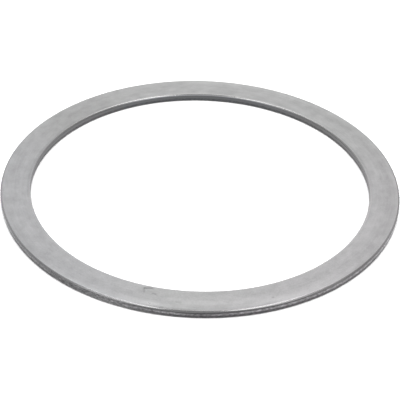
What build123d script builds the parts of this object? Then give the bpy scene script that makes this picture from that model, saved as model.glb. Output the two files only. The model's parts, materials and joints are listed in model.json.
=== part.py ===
"""Shim ring: one flat ring, blanked from sheet steel and tumbled.

Lengths are in millimetres and angles in degrees. The origin is the centre of the underside.
+Z runs along the ring's axis, up to the face whose two edges were drawn in as the cut began.
"""

import os
from math import radians, sin

from build123d import *

# The ring as it is gauged: it fills its seat, and its land covers the bearing's end face
OUTER_DIAMETER = 100.0
LAND_WIDTH = 7.5
THICKNESS = 2.1
BORE_DIAMETER = OUTER_DIAMETER - 2 * LAND_WIDTH

# Drawn-in upper edges: a wide arc leaves the face, then a tight one turns down the wall
RIM_ROLL_RADIUS = 0.90
RIM_CORNER_RADIUS = 0.20
BORE_ROLL_RADIUS = 0.55
BORE_CORNER_RADIUS = 0.12
ROLL_TURN = 35.0

# Torn lower band of both walls: its height, and how far it leans into the steel
TORN_BAND_HEIGHT = 1.05
TORN_BAND_LEAN = 0.18

# Lower corners, broken by the tumbling
LOWER_CORNER_BREAK = 0.08

# Side of a wall on which its steel lies, across the section
OUTWARD = 1
INWARD = -1


def cut_edge(wall_radius, steel_side, roll_radius, corner_radius):
    """Draw one sheared edge in section, with radius along X and height along Y.

    From the top down it is a drawn-in curve, an upright burnished band, a leaning torn
    band and a broken lower corner. All of it follows from the wall's radius.
    """
    turned = sin(radians(ROLL_TURN))
    roll_width = roll_radius * turned + corner_radius * (1 - turned)
    roll_start = (wall_radius + steel_side * roll_width, THICKNESS)
    torn_start = (wall_radius, TORN_BAND_HEIGHT)
    foot_radius = wall_radius + steel_side * TORN_BAND_LEAN
    foot = (foot_radius, LOWER_CORNER_BREAK)
    underside_start = (foot_radius + steel_side * LOWER_CORNER_BREAK, 0)

    roll = JernArc(roll_start, (-steel_side, 0), roll_radius, steel_side * ROLL_TURN)
    corner_turn = steel_side * (90 - ROLL_TURN)
    corner = JernArc(roll @ 1, roll % 1, corner_radius, corner_turn)
    burnished = Line(corner @ 1, torn_start)
    torn = Line(torn_start, foot)
    lower_corner = Line(foot, underside_start)
    return Wire([roll, corner, burnished, torn, lower_corner])


def ring_section():
    """Close the rim's edge and the bore's edge with the two flat faces."""
    rim = cut_edge(OUTER_DIAMETER / 2, INWARD, RIM_ROLL_RADIUS, RIM_CORNER_RADIUS)
    bore = cut_edge(BORE_DIAMETER / 2, OUTWARD, BORE_ROLL_RADIUS, BORE_CORNER_RADIUS)
    upper_face = Line(bore @ 0, rim @ 0)
    underside = Line(bore @ 1, rim @ 1)
    return make_face([*rim.edges(), *bore.edges(), upper_face, underside])


def shim_ring():
    """Turn the section about the ring's axis."""
    ring = revolve(Plane.XZ * ring_section(), Axis.Z)
    ring.label = "shim_ring"
    return ring


os.makedirs("parts", exist_ok=True)
export_step(shim_ring(), "parts/shim_ring.step")
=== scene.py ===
import json
import math
from collections import namedtuple

import bmesh
import bpy
from mathutils import Matrix, Vector, noise


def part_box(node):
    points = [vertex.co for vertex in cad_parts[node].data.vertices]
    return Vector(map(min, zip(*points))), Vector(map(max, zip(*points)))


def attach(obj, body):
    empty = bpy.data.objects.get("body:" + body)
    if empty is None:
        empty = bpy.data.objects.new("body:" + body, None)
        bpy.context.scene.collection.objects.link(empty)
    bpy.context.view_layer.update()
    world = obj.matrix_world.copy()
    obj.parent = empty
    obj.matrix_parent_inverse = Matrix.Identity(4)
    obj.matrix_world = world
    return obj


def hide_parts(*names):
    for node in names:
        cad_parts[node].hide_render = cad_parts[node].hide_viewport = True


# A steel shim ring, blanked from sheet. One mesh takes the solid's place: it has the same
# section, and adds the fine relief, the handling marks and the finishes.
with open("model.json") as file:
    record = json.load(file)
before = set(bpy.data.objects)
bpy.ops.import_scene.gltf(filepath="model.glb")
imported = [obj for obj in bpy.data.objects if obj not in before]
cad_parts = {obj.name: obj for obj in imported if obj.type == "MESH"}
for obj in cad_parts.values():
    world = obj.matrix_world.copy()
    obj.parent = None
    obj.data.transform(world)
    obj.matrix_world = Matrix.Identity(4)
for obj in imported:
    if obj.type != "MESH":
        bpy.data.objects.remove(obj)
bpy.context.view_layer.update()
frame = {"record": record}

MM = 0.001

# The ring's gauged sizes, from its mounts and its box
MOUNTS = {mount["name"]: mount for mount in frame["record"]["mounts"]}
BORE_RADIUS = MOUNTS["bore"]["dims"]["r_mm"] * MM
RIM_RADIUS = MOUNTS["rim"]["dims"]["r_mm"] * MM
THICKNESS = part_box("shim_ring")[1].z
LAND_MIDDLE = (BORE_RADIUS + RIM_RADIUS) / 2

# Drawn-in upper edges: a wide arc leaves the face, then a tight one turns down the wall
RIM_ROLL = 0.90 * MM
RIM_CORNER = 0.20 * MM
BORE_ROLL = 0.55 * MM
BORE_CORNER = 0.12 * MM
ROLL_TURN = math.radians(35)

# Torn lower band of both walls, and the broken lower corners
TORN_HEIGHT = 1.05 * MM
TORN_LEAN = 0.18 * MM
CORNER_BREAK = 0.08 * MM

# Between the burnished and the torn band: a pinch, then a rubbed ledge that flares back out
PINCH_START = 1.34 * MM
PINCH_HEIGHT = 1.24 * MM
PINCH_DEPTH = 0.045 * MM
LEDGE_HEIGHT = 0.86 * MM
LEDGE_DEPTH = 0.008 * MM
# The bore's wall has this share of their depth
BORE_PINCH_SHARE = 0.3

# Side of a wall on which its steel lies, across the section
OUTWARD = 1
INWARD = -1

# How finely the section and the turn are divided
SECTORS = 12
STEPS_A_SECTOR = 100
ROLL_STEPS = 5
CORNER_STEPS = 5
BURNISHED_STEPS = 3
PINCH_STEPS = 2
LEDGE_STEPS = 4
SLOPE_STEPS = 5
FACE_CUTS = 14
UNDERSIDE_CUTS = 3

# Points that lie nearer than this are merged
SAME_POINT = 0.001 * MM


def extrude_to(section, start, radius, height, steps):
    """Carry the outline on in a straight line to a radius and a height."""
    stride = (Vector((radius, 0, height)) - start.co) / steps
    for _ in range(steps):
        start = bmesh.ops.extrude_vert_indiv(section, verts=[start])["verts"][0]
        bmesh.ops.translate(section, verts=[start], vec=stride)
    return start


def turn_about(section, start, centre, turn, steps):
    """Carry the outline on along an arc about a point of the section."""
    spun = bmesh.ops.spin(
        section, geom=[start], cent=centre, axis=(0, 1, 0), angle=turn, steps=steps
    )
    return spun["geom_last"][0]


def cut_edge(section, wall, steel_side, roll, corner):
    """Draw one sheared edge, with radius along X and height along Z, from the top down."""
    width = roll * math.sin(ROLL_TURN) + corner * (1 - math.sin(ROLL_TURN))
    top = section.verts.new((wall + steel_side * width, 0, THICKNESS))
    roll_centre = top.co - Vector((0, 0, roll))
    point = turn_about(section, top, roll_centre, -steel_side * ROLL_TURN, ROLL_STEPS)
    corner_centre = point.co + (roll_centre - point.co) * corner / roll
    rest_of_turn = -steel_side * (math.pi / 2 - ROLL_TURN)
    point = turn_about(section, point, corner_centre, rest_of_turn, CORNER_STEPS)
    share = 1 if steel_side == INWARD else BORE_PINCH_SHARE
    pinch = wall + steel_side * PINCH_DEPTH * share
    ledge = wall + steel_side * LEDGE_DEPTH * share
    foot = wall + steel_side * TORN_LEAN
    point = extrude_to(section, point, wall, PINCH_START, BURNISHED_STEPS)
    point = extrude_to(section, point, pinch, PINCH_HEIGHT, PINCH_STEPS)
    point = extrude_to(section, point, ledge, LEDGE_HEIGHT, LEDGE_STEPS)
    point = extrude_to(section, point, foot, CORNER_BREAK, SLOPE_STEPS)
    point = extrude_to(section, point, foot + steel_side * CORNER_BREAK, 0, 1)
    return top, point


def ring_section():
    """Both sheared edges, joined by the two flat faces."""
    section = bmesh.new()
    rim_top, rim_foot = cut_edge(section, RIM_RADIUS, INWARD, RIM_ROLL, RIM_CORNER)
    bore_top, bore_foot = cut_edge(section, BORE_RADIUS, OUTWARD, BORE_ROLL, BORE_CORNER)
    upper_face = section.edges.new((bore_top, rim_top))
    underside = section.edges.new((bore_foot, rim_foot))
    bmesh.ops.subdivide_edges(section, edges=[upper_face], cuts=FACE_CUTS)
    bmesh.ops.subdivide_edges(section, edges=[underside], cuts=UNDERSIDE_CUTS)
    return section


def turn_ring():
    """Turn the section through one sector, repeat the sector round the axis and close it."""
    ring = ring_section()
    axis = (0, 0, 1)
    sector = 2 * math.pi / SECTORS
    outline = ring.verts[:] + ring.edges[:]
    bmesh.ops.spin(
        ring, geom=outline, cent=(0, 0, 0), axis=axis, angle=sector, steps=STEPS_A_SECTOR
    )
    bmesh.ops.spin(
        ring,
        geom=ring.verts[:] + ring.edges[:] + ring.faces[:],
        cent=(0, 0, 0),
        axis=axis,
        angle=2 * math.pi - sector,
        steps=SECTORS - 1,
        use_duplicate=True,
    )
    bmesh.ops.remove_doubles(ring, verts=ring.verts[:], dist=SAME_POINT)
    bmesh.ops.recalc_face_normals(ring, faces=ring.faces[:])
    return ring


# Finishes, in the order of the ring's material slots
TUMBLED, CUT = range(2)

# Heights between which a wall has the finish of a cut; the broken lower corner is part of it
CUT_BOTTOM = 0.01 * MM
CUT_TOP = THICKNESS - 0.25 * MM


def lay_finishes(ring):
    """Give the cut walls their own finish; all else is tumbled."""
    for face in ring.faces:
        height = face.calc_center_median().z
        face.material_index = CUT if CUT_BOTTOM < height < CUT_TOP else TUMBLED


def radius_of(vert):
    """Distance from the axis."""
    return math.hypot(vert.co.x, vert.co.y)


def angle_of(vert):
    """Degrees round the ring, from the side nearest the camera, positive to the right."""
    return math.degrees(math.atan2(vert.co.x, -vert.co.y))


def turn_from(middle, degrees):
    """Degrees from a middle angle to another, the shorter way round."""
    return (degrees - middle + 180) % 360 - 180


# A stretch of a wall: its middle angle and how fast it fades, in degrees, and how much it gives
Stretch = namedtuple("Stretch", "angle span amount")

# How far the ledge on the rim's wall sits above its usual height, in millimetres
LEDGE_LIFTS = (
    Stretch(1, 7, -0.26),
    Stretch(-25, 12, -0.26),
    Stretch(16, 10, -0.06),
    Stretch(60, 12, 0.18),
    Stretch(-60, 12, 0.15),
)

# Where the rim's wall is scuffed all over, so that its bands hardly show
SCUFFS = (Stretch(-32, 20, 1.0),)

# Painted light and painted shade along the rim's wall by angle, and painted glints and painted shade
# on its ledge alone
PAINTED_WALL_LIGHTS = (
    Stretch(0, 6, -0.14),
    Stretch(-41, 10, -0.20),
    Stretch(-22, 6, 0.18),
    Stretch(40, 6, 0.14),
    Stretch(74, 10, 0.85),
    Stretch(-76, 9, 0.50),
)
PAINTED_LEDGE_GLINTS = (Stretch(18, 6, 0.38), Stretch(-8, 5, 0.40), Stretch(41, 5, -0.12))

# Painted highlights on the top of the bore's wall, on its far side
PAINTED_BORE_HIGHLIGHTS = (
    Stretch(-163, 12, 1.4),
    Stretch(160, 14, 1.0),
    Stretch(180, 14, 0.7),
)


def along_wall(degrees, stretches):
    """Add up what the stretches give at an angle; each fades out from its middle."""
    total = 0
    for stretch in stretches:
        turned = turn_from(stretch.angle, degrees)
        total += stretch.amount * math.exp(-((turned / stretch.span) ** 2))
    return total


def is_on_rim(place):
    """Whether a place is on the rim's half of the land, and not on the bore's."""
    return Vector((place.x, place.y, 0)).length > LAND_MIDDLE


def tone_walls(ring):
    """Store how far the ledge is lifted, where the walls are scuffed, and the painted light, shade,
    glints and highlights along them.
    """
    lift = ring.verts.layers.float.new("lift")
    scuff = ring.verts.layers.float.new("scuff")
    painted_wall_light = ring.verts.layers.float.new("painted_wall_light")
    painted_ledge_glint = ring.verts.layers.float.new("painted_ledge_glint")
    painted_highlight = ring.verts.layers.float.new("painted_highlight")
    for vert in ring.verts:
        angle = angle_of(vert)
        if is_on_rim(vert.co):
            vert[lift] = along_wall(angle, LEDGE_LIFTS) * MM
            vert[scuff] = along_wall(angle, SCUFFS)
            vert[painted_wall_light] = along_wall(angle, PAINTED_WALL_LIGHTS)
            vert[painted_ledge_glint] = along_wall(angle, PAINTED_LEDGE_GLINTS)
        else:
            vert[painted_highlight] = along_wall(angle, PAINTED_BORE_HIGHLIGHTS)


# Relief of the torn band: how long, tall and deep its flakes are, and the share of that depth
# about which they rise and fall
FLAKE_LENGTH = 0.9 * MM
FLAKE_HEIGHT = 0.22 * MM
FLAKE_DEPTH = 0.030 * MM
FLAKE_MEAN = 0.5
# How its top edge wanders, and how far above and below the pinch the wall goes with it
WANDER_LENGTH = 1.6 * MM
WANDER_HEIGHT = 0.10 * MM
WANDER_REACH = 0.45 * MM
# The walls' relief stays below this height, and the face's marks stay above it
SKIN_BOTTOM = THICKNESS - 0.30 * MM


def flake_depth(place):
    """How deep the torn band is at a place; its flakes fade out at its top and foot."""
    middle = (TORN_HEIGHT + CORNER_BREAK) / 2
    half = (TORN_HEIGHT - CORNER_BREAK) / 2
    spot = Vector((place.x / FLAKE_LENGTH, place.y / FLAKE_LENGTH, place.z / FLAKE_HEIGHT))
    fade = max(0, 1 - ((place.z - middle) / half) ** 4)
    return FLAKE_DEPTH * fade * (FLAKE_MEAN + noise.noise(spot))


def tear_walls(ring):
    """Roughen the torn bands into flakes, and let the ledge above them rise and fall."""
    lift = ring.verts.layers.float["lift"]
    for vert in ring.verts:
        place = vert.co.copy()
        if not CORNER_BREAK < place.z < SKIN_BOTTOM:
            continue
        steel_side = INWARD if is_on_rim(place) else OUTWARD
        out = Vector((place.x, place.y, 0)).normalized()
        vert.co += out * steel_side * flake_depth(place)
        near_pinch = max(0, 1 - abs(place.z - PINCH_HEIGHT) / WANDER_REACH)
        wander = WANDER_HEIGHT * noise.noise(place / WANDER_LENGTH)
        vert.co.z += near_pinch * (wander + vert[lift])


# The face sags a little towards the rim
SAG_REACH = 3.0 * MM
SAG_DEPTH = 0.020 * MM
# The rim is drawn in deeper over one short arc; its middle and how fast it fades, in degrees
DEEP_REACH = 1.15 * MM
DEEP_DEPTH = 0.11 * MM
DEEP_ANGLE = -2
DEEP_SPAN = 7


def sag_face(ring):
    """Lower the face towards the rim, and more over the arc that is drawn in deeper."""
    for vert in ring.verts:
        if vert.co.z < TORN_HEIGHT:
            continue
        sag = max(0, 1 - (RIM_RADIUS - radius_of(vert)) / SAG_REACH)
        deep = max(0, 1 - (RIM_RADIUS - radius_of(vert)) / DEEP_REACH)
        nearness = math.exp(-(((angle_of(vert) - DEEP_ANGLE) / DEEP_SPAN) ** 2))
        vert.co.z -= SAG_DEPTH * sag ** 2 + DEEP_DEPTH * deep ** 2 * nearness


# A patch of the face: its middle, by radius in millimetres and by angle in degrees, how fast it
# fades, across the land in millimetres and round it in degrees, and how light it is
Patch = namedtuple("Patch", "radius angle reach span strength")

# Patches of the upper face painted lighter, or duller where the strength is negative: on the land
# partly wear and partly painted sheen and shade, along both edges painted highlights and painted
# shade
PATCHES = (
    # On the land: partly wear, partly painted sheen and painted shade
    Patch(44.5, 3, 2.5, 32, 0.30),
    Patch(46.9, 1, 1.1, 10, 0.9),
    Patch(48.3, 15, 0.9, 9, 0.6),
    Patch(48.7, 28, 0.8, 12, 1.0),
    Patch(49.0, -22, 0.8, 13, 0.9),
    Patch(49.3, -35, 0.4, 11, 0.8),
    Patch(49.3, 36, 0.4, 10, 0.9),
    Patch(48.9, 172, 0.8, 25, 0.5),
    Patch(47.6, 66, 1.4, 14, -0.3),
    Patch(47.6, 110, 1.8, 18, -0.4),
    Patch(46.0, -133, 5.0, 15, -0.7),
    Patch(46.0, -100, 5.0, 14, -0.3),
    Patch(48.7, -13, 0.8, 7, 1.5),
    Patch(48.0, 29, 1.0, 9, 0.9),
    Patch(46.9, 14, 1.0, 8, 0.7),
    Patch(47.8, 45, 0.9, 9, 0.5),
    Patch(48.5, -56, 0.8, 14, -0.6),
    Patch(47.8, 90, 1.1, 14, -0.5),
    Patch(46.8, 135, 1.2, 14, -0.5),
    Patch(44.3, 62, 1.6, 22, 0.4),
    # Along the bore's edge: painted highlights on its far side, painted shade on its sides
    Patch(42.60, -163, 0.25, 14, 1.6),
    Patch(42.60, 160, 0.25, 14, 1.2),
    Patch(42.60, 180, 0.25, 14, 1.4),
    Patch(42.80, -107, 0.45, 28, -1.9),
    Patch(42.85, 108, 0.40, 26, -1.3),
    # Along the rim's drawn-in edge: painted highlights and painted shade
    Patch(49.90, 13, 0.30, 5, -1.6),
    Patch(49.72, -14, 0.28, 7, -1.4),
    Patch(49.45, -5, 0.25, 5, -1.2),
    Patch(49.65, 25, 0.30, 5, 1.2),
    Patch(50.00, 41, 0.25, 6, 1.4),
    Patch(49.65, 52, 0.25, 10, -1.3),
)
# The face's tones are stored above this height
TONED_BOTTOM = THICKNESS - 0.40 * MM


def tone_face(ring):
    """Store how light or dull each point of the upper face is: its wear, and its painted sheen,
    highlights and shade.
    """
    tone = ring.verts.layers.float.new("tone")
    for vert in ring.verts:
        if vert.co.z < TONED_BOTTOM:
            continue
        radius = radius_of(vert) / MM
        for patch in PATCHES:
            across = (radius - patch.radius) / patch.reach
            along = turn_from(patch.angle, angle_of(vert)) / patch.span
            vert[tone] += patch.strength * math.exp(-(across ** 2) - along ** 2)


# A handling mark runs from its start to its end, by radius in millimetres and by angle in
# degrees. Its width and depth are in millimetres, and its dirt is taken off the face's tone.
Mark = namedtuple("Mark", "start_radius start_angle end_radius end_angle width depth dirt")

MARKS = {
    "nick_down": Mark(43.90, -16.4, 45.20, -15.7, 0.50, 0.025, 1.3),
    "nick_across": Mark(43.74, -16.1, 43.24, -13.9, 0.42, 0.045, 3.0),
    "short_dash": Mark(45.12, -13.1, 45.24, -12.1, 0.44, 0.030, 1.7),
    "dent": Mark(47.44, 21.4, 47.40, 21.7, 0.42, 0.045, 2.3),
    "rim_spot": Mark(49.37, -9.6, 49.38, -9.1, 0.50, 0.040, 1.8),
    "dull_spot": Mark(46.97, -5.7, 46.93, -4.7, 0.60, 0.010, 0.9),
    "left_scratch": Mark(48.6, -29.0, 48.9, -24.0, 0.20, 0.012, 0.5),
    "right_scratch": Mark(46.2, 7.0, 47.4, 9.5, 0.20, 0.010, 0.4),
}
# The face is divided finer round a mark in two rounds, out to these multiples of its width
FINER_REACHES = (3, 2)


def on_face(radius_mm, degrees):
    """A point of the face seen from above, by its radius and its angle."""
    turn = math.radians(degrees)
    return Vector((math.sin(turn), -math.cos(turn), 0)) * radius_mm * MM


def distance_from(start, along, point):
    """Distance across the face from a line to a point."""
    flat = Vector((point.x, point.y, 0)) - start
    share = min(max(flat.dot(along) / along.length_squared, 0), 1)
    return (flat - along * share).length


def press_mark(ring, mark):
    """Subdivide the face round a mark, press the mark in and let it hold dirt."""
    start = on_face(mark.start_radius, mark.start_angle)
    along = on_face(mark.end_radius, mark.end_angle) - start
    width = mark.width * MM

    def is_near(vert, reach):
        return vert.co.z > SKIN_BOTTOM and distance_from(start, along, vert.co) < reach

    for multiple in FINER_REACHES:
        reach = multiple * width
        edges = [edge for edge in ring.edges if all(is_near(vert, reach) for vert in edge.verts)]
        bmesh.ops.subdivide_edges(ring, edges=edges, cuts=1, use_grid_fill=True)
    tone = ring.verts.layers.float["tone"]
    for vert in ring.verts:
        if vert.co.z > SKIN_BOTTOM:
            away = distance_from(start, along, vert.co) / (width / 2)
            share = math.exp(-(away ** 2))
            vert.co.z -= mark.depth * MM * share
            vert[tone] -= mark.dirt * share


def add_node(tree, kind, inputs=None, **settings):
    """Add a node, set its options, and set or link its inputs by name or number."""
    node = tree.nodes.new(kind)
    for name, value in settings.items():
        setattr(node, name, value)
    for name, value in (inputs or {}).items():
        if isinstance(value, bpy.types.NodeSocket):
            tree.links.new(value, node.inputs[name])
        else:
            node.inputs[name].default_value = value
    return node


def calculate(tree, operation, *values):
    """Do one sum; here and below, each value may be a number or a socket."""
    return add_node(tree, "ShaderNodeMath", dict(enumerate(values)), operation=operation).outputs[0]


def add(tree, value, other):
    return calculate(tree, "ADD", value, other)


def multiply(tree, value, factor):
    return calculate(tree, "MULTIPLY", value, factor)


def calculate_vector(tree, operation, inputs):
    """Do one sum on vectors; give back its outputs."""
    return add_node(tree, "ShaderNodeVectorMath", inputs, operation=operation).outputs


def mapped(tree, value, start, end, low, high, **settings):
    """Carry a value from one range over to another, and hold it within that."""
    inputs = {"Value": value, "From Min": start, "From Max": end, "To Min": low, "To Max": high}
    return add_node(tree, "ShaderNodeMapRange", inputs, **settings).outputs["Result"]


def mixed(tree, share, low, high):
    """Blend two values by a share from 0 to 1."""
    return mapped(tree, share, 0, 1, low, high)


def even_rise(tree, value, start, end):
    """Rise evenly from 0 to 1 between two values."""
    return mapped(tree, value, start, end, 0, 1)


def smooth_rise(tree, value, start, end):
    """Rise smoothly from 0 to 1 between two values."""
    return mapped(tree, value, start, end, 0, 1, interpolation_type="SMOOTHSTEP")


# Most of a noise lies between these
NOISE_LOW = 0.3
NOISE_HIGH = 0.7


def ranged(tree, pattern, low, high):
    """Spread the middle of a noise between two values."""
    return mapped(tree, pattern, NOISE_LOW, NOISE_HIGH, low, high)


def stored(tree, name):
    """What the ring's points store under a name."""
    return add_node(tree, "ShaderNodeAttribute", attribute_name=name).outputs["Fac"]


def height_of(tree, place):
    return add_node(tree, "ShaderNodeSeparateXYZ", {0: place}).outputs["Z"]


def ring_place(tree, place):
    """The radius of a place, and the unit vector from the axis out to it."""
    flat = calculate_vector(tree, "MULTIPLY", {0: place, 1: (1, 1, 0)})["Vector"]
    radius = calculate_vector(tree, "LENGTH", {0: flat})["Value"]
    outward = calculate_vector(tree, "NORMALIZE", {0: flat})["Vector"]
    return radius, outward


def from_land_middle(tree, place):
    """Distance across the land, from its middle circle."""
    radius, _ = ring_place(tree, place)
    return calculate(tree, "ABSOLUTE", calculate(tree, "SUBTRACT", radius, LAND_MIDDLE))


# A side of the ring: the way to it from the axis, and where on that way it starts and is full
Side = namedtuple("Side", "way start end")


def towards(tree, place, side):
    """Rise from 0 to 1 along the way to a side of the ring."""
    along = calculate_vector(tree, "DOT_PRODUCT", {0: place, 1: side.way})["Value"]
    return smooth_rise(tree, along, side.start, side.end)


# A noise with patches of about one size each way, and one that is drawn out along the ring.
# The detail is how many finer noises it has within it, and rough is how strong they are.
Grain = namedtuple("Grain", "size detail rough")
Streaks = namedtuple("Streaks", "length width detail rough")


def grain(tree, place, kind):
    """Noise whose patches are about the given size across."""
    inputs = {
        "Vector": place,
        "Scale": 1 / kind.size,
        "Detail": kind.detail,
        "Roughness": kind.rough,
    }
    return add_node(tree, "ShaderNodeTexNoise", inputs).outputs["Fac"]


def streaks(tree, place, kind):
    """Noise drawn out along the ring; its width is across the land, or up a wall."""
    radius, outward = ring_place(tree, place)
    stretch = {0: outward, "Scale": LAND_MIDDLE / kind.length}
    around = calculate_vector(tree, "SCALE", stretch)["Vector"]
    across = calculate(tree, "SUBTRACT", radius, height_of(tree, place))
    across = multiply(tree, across, 1 / kind.width)
    upwards = add_node(tree, "ShaderNodeCombineXYZ", {"Z": across}).outputs[0]
    spot = calculate_vector(tree, "ADD", {0: around, 1: upwards})["Vector"]
    return grain(tree, spot, Grain(1, kind.detail, kind.rough))


def steel(name):
    """Start a bare steel material; give back its node tree, its shader and its place."""
    material = bpy.data.materials.new(name)
    material.use_nodes = True
    tree = material.node_tree
    shader = tree.nodes["Principled BSDF"]
    shader.inputs["Metallic"].default_value = 1
    place = add_node(tree, "ShaderNodeTexCoord").outputs["Object"]
    return material, tree, shader, place


def tinted(tree, grey, red, green, blue):
    """A grey that leans towards a hue by the shares given."""
    parts = {part: multiply(tree, grey, share) for part, share in enumerate((red, green, blue))}
    return add_node(tree, "ShaderNodeCombineColor", parts).outputs[0]


def roughen(tree, shader, relief, strength, distance):
    """Let a pattern stand out of the surface as a bump."""
    inputs = {"Height": relief, "Strength": strength, "Distance": distance}
    bump = add_node(tree, "ShaderNodeBump", inputs)
    tree.links.new(bump.outputs["Normal"], shader.inputs["Normal"])


# Patterns of the tumbled face
CLOUDS = Streaks(3.2 * MM, 2.0 * MM, 5, 0.65)
LINES = Streaks(12 * MM, 0.45 * MM, 3, 0.6)
WEAR = Grain(0.41 * MM, 3, 0.7)
TOOTH = Grain(0.16 * MM, 3, 0.6)

# Greys of its clouds, and what the lines and the wear take off or add
CLOUD_GREYS = (0.347, 0.421)
LINE_GREYS = (-0.018, 0.018)
WEAR_GREYS = (-0.036, 0.036)
# Away from the near side the face has only a share of the wear
FAR_WEAR_SHARE = 0.5
NEAR_SIDE = Side((0, -1, 0), 15 * MM, 35 * MM)
CLOUD_ROUGHNESS = (0.42, 0.35)

# The tumbling left a dull skin on the face, so only this share of it shines as bare metal does
BARE_SHARE = 0.70
# Where the edges' polish starts and is full, across the land from its middle circle
POLISH_START = 3.1 * MM
POLISH_FULL = 3.6 * MM
POLISHED_GREY = 0.60
POLISHED_ROUGHNESS = 0.15

# What a full patch adds to the grey of the skin, to that of the polished edges and to roughness
TONE_GREY = 0.060
POLISHED_TONE_GREY = 0.085
TONE_ROUGHNESS = -0.05

# How much the fine tooth shows on the skin and on the polished edges, and how deep it is
TOOTH_STRENGTH = 0.25
POLISHED_TOOTH_STRENGTH = 0.08
TOOTH_DEPTH = 0.010 * MM

# The face is a little bluer on the left and a little less green on the right
FACE_LEFT = Side((-0.9, -0.4, 0), 20 * MM, 40 * MM)
FACE_RIGHT = Side((0.85, -0.5, 0), 20 * MM, 40 * MM)
FACE_LEFT_BLUE = 1.022
FACE_RIGHT_GREEN = 0.985


def face_grey(tree, place, cloud, polish, tone):
    """Clouds, lines and wear on the skin, the polish of the edges, and the patches on both."""
    lines = ranged(tree, streaks(tree, place, LINES), *LINE_GREYS)
    wear = ranged(tree, grain(tree, place, WEAR), *WEAR_GREYS)
    wear_share = mixed(tree, towards(tree, place, NEAR_SIDE), FAR_WEAR_SHARE, 1)
    skin = add(tree, ranged(tree, cloud, *CLOUD_GREYS), lines)
    skin = add(tree, skin, multiply(tree, wear, wear_share))
    # The patches and marks carry wear and dirt, and painted sheen, highlights and shade
    toned = multiply(tree, tone, mixed(tree, polish, TONE_GREY, POLISHED_TONE_GREY))
    return add(tree, mixed(tree, polish, skin, POLISHED_GREY), toned)


def face_roughness(tree, cloud, polish, tone):
    """Smoother where the clouds are light, and where the face is rubbed or polished."""
    toned = multiply(tree, tone, TONE_ROUGHNESS)
    skin = add(tree, ranged(tree, cloud, *CLOUD_ROUGHNESS), toned)
    return mixed(tree, polish, skin, POLISHED_ROUGHNESS)


def tumbled_face():
    """Matte, finely dulled by tumbling, with faint clouding, toned patches and polished edges."""
    material, tree, shader, place = steel("tumbled_face")
    cloud = streaks(tree, place, CLOUDS)
    polish = smooth_rise(tree, from_land_middle(tree, place), POLISH_START, POLISH_FULL)
    tone = stored(tree, "tone")
    grey = face_grey(tree, place, cloud, polish, tone)
    green = mixed(tree, towards(tree, place, FACE_RIGHT), 1, FACE_RIGHT_GREEN)
    blue = mixed(tree, towards(tree, place, FACE_LEFT), 1, FACE_LEFT_BLUE)
    tree.links.new(tinted(tree, grey, 1, green, blue), shader.inputs["Base Color"])
    tree.links.new(mixed(tree, polish, BARE_SHARE, 1), shader.inputs["Metallic"])
    tree.links.new(face_roughness(tree, cloud, polish, tone), shader.inputs["Roughness"])
    strength = mixed(tree, polish, TOOTH_STRENGTH, POLISHED_TOOTH_STRENGTH)
    roughen(tree, shader, grain(tree, place, TOOTH), strength, TOOTH_DEPTH)
    return material


# Patterns of the cut walls
FLAKES = Streaks(0.7 * MM, 0.25 * MM, 4, 0.7)
SPECKS = Streaks(0.65 * MM, 0.4 * MM, 4, 0.65)
DRAG = Grain(0.30 * MM, 4, 0.6)
DRIFT = Grain(14 * MM, 2, 0.5)
BAND_WANDER = Grain(WANDER_LENGTH, 3, 0.6)

# How far the bands' edges wander, and the heights between which the ledge gives way to the
# burnished band above it and to the torn one below. They have half of the wander added to them.
BAND_WANDER_HEIGHT = 0.30 * MM
BURNISHED_RISE = (1.60 * MM, 1.75 * MM)
TORN_FALL = (1.12 * MM, 0.98 * MM)
# The ledge's lower edge goes with its lift by this share
LOWER_LIFT_SHARE = 0.4

# Greys of each band, and the shares by which the ledge's greys drift
BURNISHED_GREYS = (0.22, 0.34)
LEDGE_GREYS = (0.22, 1.0)
LEDGE_DRIFT_SHARES = (0.75, 1.1)
BORE_LEDGE_GREY = 0.38
TORN_GREYS = (0.14, 0.38)
SCUFFED_GREYS = (0.12, 0.68)
BURNISHED_ROUGHNESS = (0.46, 0.36)
LEDGE_ROUGHNESS = 0.5
TORN_ROUGHNESS = (0.62, 0.50)

# Grey of the painted highlights on the bore's wall, and the heights between which they rise
PAINTED_HIGHLIGHT_GREY = 0.95
PAINTED_HIGHLIGHT_BOTTOM = 1.58 * MM
PAINTED_HIGHLIGHT_TOP = 1.86 * MM

# How much the flakes and the drag show, and how deep they are
RELIEF_STRENGTH = 0.8
RELIEF_DEPTH = 0.025 * MM

# The walls are a little less green, most of all on the right, and a little bluer on the left
# and on the far side of the bore
WALL_LEFT = Side((-0.85, -0.5, 0), -10 * MM, 20 * MM)
WALL_RIGHT = Side((0.85, -0.5, 0), 10 * MM, 36 * MM)
FAR_SIDE = Side((0, 1, 0), 30 * MM, 42 * MM)
WALL_GREEN = 0.988
WALL_RIGHT_GREEN = 0.972
WALL_LEFT_BLUE = 1.015
FAR_BORE_RED = 0.97
FAR_BORE_BLUE = 1.03


def wall_bands(tree, place, height):
    """Rise from 0 to 1 above the ledge, and another below it, both along wandering edges."""
    lift = stored(tree, "lift")
    wander = grain(tree, place, BAND_WANDER)
    edge = calculate(tree, "MULTIPLY_ADD", wander, BAND_WANDER_HEIGHT, height)
    upper_edge = add(tree, edge, multiply(tree, lift, -1))
    lower_edge = add(tree, edge, multiply(tree, lift, -LOWER_LIFT_SHARE))
    over_ledge = smooth_rise(tree, upper_edge, *BURNISHED_RISE)
    under_ledge = smooth_rise(tree, lower_edge, *TORN_FALL)
    return over_ledge, under_ledge


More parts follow.
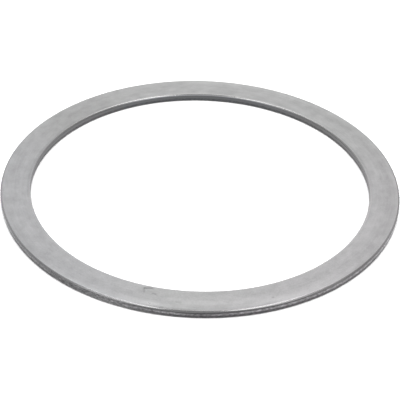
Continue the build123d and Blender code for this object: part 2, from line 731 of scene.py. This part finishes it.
def ledge_grey(tree, place, speck, radius):
    """Light specks that drift on the rim's wall, with painted glints and painted shade along it, and
    a plain grey on the bore's.
    """
    on_rim = smooth_rise(tree, radius, BORE_RADIUS, RIM_RADIUS)
    drift = ranged(tree, grain(tree, place, DRIFT), *LEDGE_DRIFT_SHARES)
    grey = multiply(tree, ranged(tree, speck, *LEDGE_GREYS), drift)
    # Painted glints and painted shade along the ledge, by angle
    grey = multiply(tree, grey, add(tree, stored(tree, "painted_ledge_glint"), 1))
    return mixed(tree, on_rim, BORE_LEDGE_GREY, grey)


def burnished_grey(tree, drag, height):
    """Dark and finely dragged, with painted highlights on the top of the bore's wall."""
    painted_highlight = multiply(tree, stored(tree, "painted_highlight"), smooth_rise(tree, height, PAINTED_HIGHLIGHT_BOTTOM, PAINTED_HIGHLIGHT_TOP))
    return mixed(tree, painted_highlight, ranged(tree, drag, *BURNISHED_GREYS), PAINTED_HIGHLIGHT_GREY)


def wall_tint(tree, place, radius, grey):
    """Lean the walls' grey towards the hue of each side."""
    on_bore = smooth_rise(tree, radius, LAND_MIDDLE, BORE_RADIUS)
    far_bore = multiply(tree, on_bore, towards(tree, place, FAR_SIDE))
    blue_left = mixed(tree, towards(tree, place, WALL_LEFT), 1, WALL_LEFT_BLUE)
    red = mixed(tree, far_bore, 1, FAR_BORE_RED)
    green = mixed(tree, towards(tree, place, WALL_RIGHT), WALL_GREEN, WALL_RIGHT_GREEN)
    blue = mixed(tree, far_bore, blue_left, FAR_BORE_BLUE)
    return tinted(tree, grey, red, green, blue)


def cut_wall():
    """The sheared walls: burnished above, a rubbed light ledge, and torn below, with painted light,
    shade, glints and highlights along them by angle.
    """
    material, tree, shader, place = steel("cut_wall")
    height = height_of(tree, place)
    radius, _ = ring_place(tree, place)
    flake = streaks(tree, place, FLAKES)
    speck = streaks(tree, place, SPECKS)
    drag = grain(tree, place, DRAG)
    over_ledge, under_ledge = wall_bands(tree, place, height)
    ledge = ledge_grey(tree, place, speck, radius)
    grey = mixed(tree, over_ledge, ledge, burnished_grey(tree, drag, height))
    grey = mixed(tree, under_ledge, grey, ranged(tree, flake, *TORN_GREYS))
    grey = mixed(tree, stored(tree, "scuff"), grey, ranged(tree, speck, *SCUFFED_GREYS))
    # Painted light and painted shade along the rim's wall, by angle
    grey = multiply(tree, grey, add(tree, stored(tree, "painted_wall_light"), 1))
    burnished_roughness = ranged(tree, drag, *BURNISHED_ROUGHNESS)
    roughness = mixed(tree, over_ledge, LEDGE_ROUGHNESS, burnished_roughness)
    roughness = mixed(tree, under_ledge, roughness, ranged(tree, flake, *TORN_ROUGHNESS))
    tree.links.new(wall_tint(tree, place, radius, grey), shader.inputs["Base Color"])
    tree.links.new(roughness, shader.inputs["Roughness"])
    relief = mixed(tree, over_ledge, flake, drag)
    roughen(tree, shader, relief, RELIEF_STRENGTH, RELIEF_DEPTH)
    return material


# Edges that turn by more than this are shaded as sharp ones
SHARP_CREASE = math.radians(32)


def shim_ring():
    """Make the ring, and let it stand for the solid that it replaces."""
    ring = turn_ring()
    lay_finishes(ring)
    tone_walls(ring)
    tear_walls(ring)
    sag_face(ring)
    tone_face(ring)
    for mark in MARKS.values():
        press_mark(ring, mark)
    mesh = bpy.data.meshes.new("ring")
    ring.to_mesh(mesh)
    ring.free()
    mesh.polygons.foreach_set("use_smooth", [True] * len(mesh.polygons))
    mesh.set_sharp_from_angle(angle=SHARP_CREASE)
    for finish in (tumbled_face(), cut_wall()):
        mesh.materials.append(finish)
    piece = bpy.data.objects.new("ring", mesh)
    bpy.context.scene.collection.objects.link(piece)
    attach(piece, "root")
    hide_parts("shim_ring")
    return piece


# Camera, as the photograph was taken: aimed at the centre of the underside
CAMERA_ELEVATION = math.radians(35.455)
CAMERA_DISTANCE = 416.3 * MM
CAMERA_ROLL = math.radians(1.629)
# Lens and sensor in millimetres; shifts in widths of the picture
LENS = 148.54
SENSOR_WIDTH = 36
SHIFT_RIGHT = -0.0003
SHIFT_UP = -0.0219
# The camera sees what lies between these distances
NEAREST = 10 * MM
FARTHEST = 10


def camera():
    """Place the camera in front of the ring and above it, and look through it."""
    data = bpy.data.cameras.new("camera")
    data.lens = LENS
    data.sensor_width = SENSOR_WIDTH
    data.shift_x = SHIFT_RIGHT
    data.shift_y = SHIFT_UP
    data.clip_start = NEAREST
    data.clip_end = FARTHEST
    viewer = bpy.data.objects.new("camera", data)
    bpy.context.scene.collection.objects.link(viewer)
    tilt = Matrix.Rotation(math.pi / 2 - CAMERA_ELEVATION, 4, "X")
    roll = Matrix.Rotation(CAMERA_ROLL, 4, "Z")
    back = Matrix.Translation((0, 0, CAMERA_DISTANCE))
    viewer.matrix_world = tilt @ back @ roll
    bpy.context.scene.camera = viewer


# A soft light: where it hangs and its width and length in metres, and its power in watts
Softbox = namedtuple("Softbox", "place size power")
BACK_SOFTBOX = Softbox((0.05, 1.06, 0.80), (0.85, 0.8), 0.80)
FLOOR_LIGHT = Softbox((0, 0, 3), (3, 3), 170)

# A pair of strip lights over the ring, which run from front to back: how far aside and how far
# back each hangs, its width and length, and the power of the left and of the right one
StripPair = namedtuple("StripPair", "aside back width length left_power right_power")
LONG_STRIPS = StripPair(0.235, 0.22, 0.15, 1.1, 0.85, 1.0)
FRONT_STRIPS = StripPair(0.54, -0.45, 0.42, 0.9, 0.55, 0.55)
STRIP_HEIGHT = 1.0


def softbox(name, place, size, power):
    """A soft light aimed at the ring; the camera doesn't see it."""
    data = bpy.data.lights.new(name, "AREA")
    data.shape = "RECTANGLE"
    data.size, data.size_y = size
    data.energy = power
    light = bpy.data.objects.new(name, data)
    bpy.context.scene.collection.objects.link(light)
    light.location = place
    light.rotation_euler = (-Vector(place)).to_track_quat("-Z", "Y").to_euler()
    light.visible_camera = False
    return light


def strip_lights(name, pair):
    """Hang a strip on each side, level from front to back and tipped in towards the ring."""
    sides = (("left", -pair.aside, pair.left_power), ("right", pair.aside, pair.right_power))
    for side, aside, power in sides:
        place = (aside, pair.back, STRIP_HEIGHT)
        light = softbox(f"{side}_{name}", place, (pair.width, pair.length), power)
        light.rotation_euler = (0, math.atan2(aside, STRIP_HEIGHT), 0)


# The room's brightness in each direction. The parts of a direction run from -1 to 1 to the
# right, back and up, and each pair is where a change starts and ends. The room and its floor
# brighten from front to back, and the floor gives way to the walls at the horizon.
ROOM_FRONT = 0.30
ROOM_BACK = 0.95
FLOOR_BACK = 0.80
HORIZON = (-0.45, -0.25)
# The walls darken upwards into the ceiling
CEILING_SHARE = 0.50
CEILING_RISE = (-0.1, 0.7)
# A pale screen stands low in front
SCREEN_LIGHT = 0.28
SCREEN_AHEAD = (0.0, -0.5)
SCREEN_FOOT = (-0.05, 0.10)
SCREEN_TOP = (0.70, 0.45)
# Grey cards hang beside the ring, and stand low behind it, darker on the right
SIDE_SHARE = 0.55
SIDE_ASIDE = (0.55, 0.85)
SIDE_FOOT = (0.0, 0.2)
CARD_ASIDE = (0.20, 0.50)
CARD_BACK = (0.35, 0.65)
CARD_TOP = (0.50, 0.25)
LEFT_CARD_SHARE = 0.80
RIGHT_CARD_SHARE = 0.58


def room_shades(tree, right, back, up):
    """Shares that the ceiling, the cards beside the ring and those behind it leave of the light."""
    left = multiply(tree, right, -1)
    aside = calculate(tree, "ABSOLUTE", right)
    ceiling = even_rise(tree, up, *CEILING_RISE)
    beside = multiply(
        tree, smooth_rise(tree, aside, *SIDE_ASIDE), smooth_rise(tree, up, *SIDE_FOOT)
    )
    behind = multiply(
        tree, smooth_rise(tree, back, *CARD_BACK), smooth_rise(tree, up, *CARD_TOP)
    )
    left_card = multiply(tree, behind, smooth_rise(tree, left, *CARD_ASIDE))
    right_card = multiply(tree, behind, smooth_rise(tree, right, *CARD_ASIDE))
    return (
        mixed(tree, ceiling, 1, CEILING_SHARE),
        mixed(tree, beside, 1, SIDE_SHARE),
        mixed(tree, left_card, 1, LEFT_CARD_SHARE),
        mixed(tree, right_card, 1, RIGHT_CARD_SHARE),
    )


def front_screen(tree, back, up):
    """Light of the pale screen in front."""
    upright = multiply(
        tree, smooth_rise(tree, up, *SCREEN_FOOT), smooth_rise(tree, up, *SCREEN_TOP)
    )
    ahead = multiply(tree, upright, smooth_rise(tree, back, *SCREEN_AHEAD))
    return multiply(tree, ahead, SCREEN_LIGHT)


def room():
    """Light the scene from all round, as a pale studio does."""
    world = bpy.data.worlds.new("studio")
    bpy.context.scene.world = world
    world.use_nodes = True
    tree = world.node_tree
    way = add_node(tree, "ShaderNodeTexCoord").outputs["Generated"]
    right, back, up = add_node(tree, "ShaderNodeSeparateXYZ", {0: way}).outputs
    floor_light = mapped(tree, back, -1, 1, ROOM_FRONT, FLOOR_BACK)
    wall_light = mapped(tree, back, -1, 1, ROOM_FRONT, ROOM_BACK)
    for share in room_shades(tree, right, back, up):
        wall_light = multiply(tree, wall_light, share)
    wall_light = add(tree, wall_light, front_screen(tree, back, up))
    strength = mixed(tree, smooth_rise(tree, up, *HORIZON), floor_light, wall_light)
    background = tree.nodes["Background"]
    background.inputs["Color"].default_value = (1, 1, 1, 1)
    tree.links.new(strength, background.inputs["Strength"])


# Floor and backdrop, in metres; the backdrop is round, in many flat sides
FLOOR_SIZE = 8
BACKDROP_RADIUS = 1.6
BACKDROP_HEIGHT = 3.0
BACKDROP_SIDES = 96
# The floor is pale and matte
FLOOR_GREY = 0.9
FLOOR_ROUGHNESS = 0.9


def floor():
    """A plain pale floor, which the steel doesn't mirror."""
    bpy.ops.mesh.primitive_plane_add(size=FLOOR_SIZE)
    plane = bpy.context.object
    plane.name = "floor"
    material = bpy.data.materials.new("floor")
    material.use_nodes = True
    shader = material.node_tree.nodes["Principled BSDF"]
    shader.inputs["Base Color"].default_value = (FLOOR_GREY, FLOOR_GREY, FLOOR_GREY, 1)
    shader.inputs["Roughness"].default_value = FLOOR_ROUGHNESS
    plane.data.materials.append(material)
    plane.visible_glossy = False


def backdrop():
    """A white backdrop stands all round, and lights and darkens nothing."""
    wall = bmesh.new()
    bmesh.ops.create_circle(wall, segments=BACKDROP_SIDES, radius=BACKDROP_RADIUS)
    rim = bmesh.ops.extrude_edge_only(wall, edges=wall.edges[:])["geom"]
    raised = [vert for vert in rim if isinstance(vert, bmesh.types.BMVert)]
    bmesh.ops.translate(wall, verts=raised, vec=(0, 0, BACKDROP_HEIGHT))
    mesh = bpy.data.meshes.new("backdrop")
    wall.to_mesh(mesh)
    wall.free()
    material = bpy.data.materials.new("backdrop")
    material.use_nodes = True
    shader = material.node_tree.nodes["Principled BSDF"]
    shader.inputs["Emission Color"].default_value = (1, 1, 1, 1)
    shader.inputs["Emission Strength"].default_value = 1
    mesh.materials.append(material)
    screen = bpy.data.objects.new("backdrop", mesh)
    bpy.context.scene.collection.objects.link(screen)
    screen.visible_diffuse = False
    screen.visible_glossy = False
    screen.visible_shadow = False


def studio():
    """Build the room round the ring and hang its lights."""
    room()
    floor()
    backdrop()
    softbox("back_softbox", *BACK_SOFTBOX)
    strip_lights("strip", LONG_STRIPS)
    strip_lights("front_strip", FRONT_STRIPS)
    overhead = softbox("floor_light", *FLOOR_LIGHT)
    overhead.visible_glossy = False
    bpy.context.scene.view_settings.view_transform = "Standard"


shim_ring()
camera()
studio()
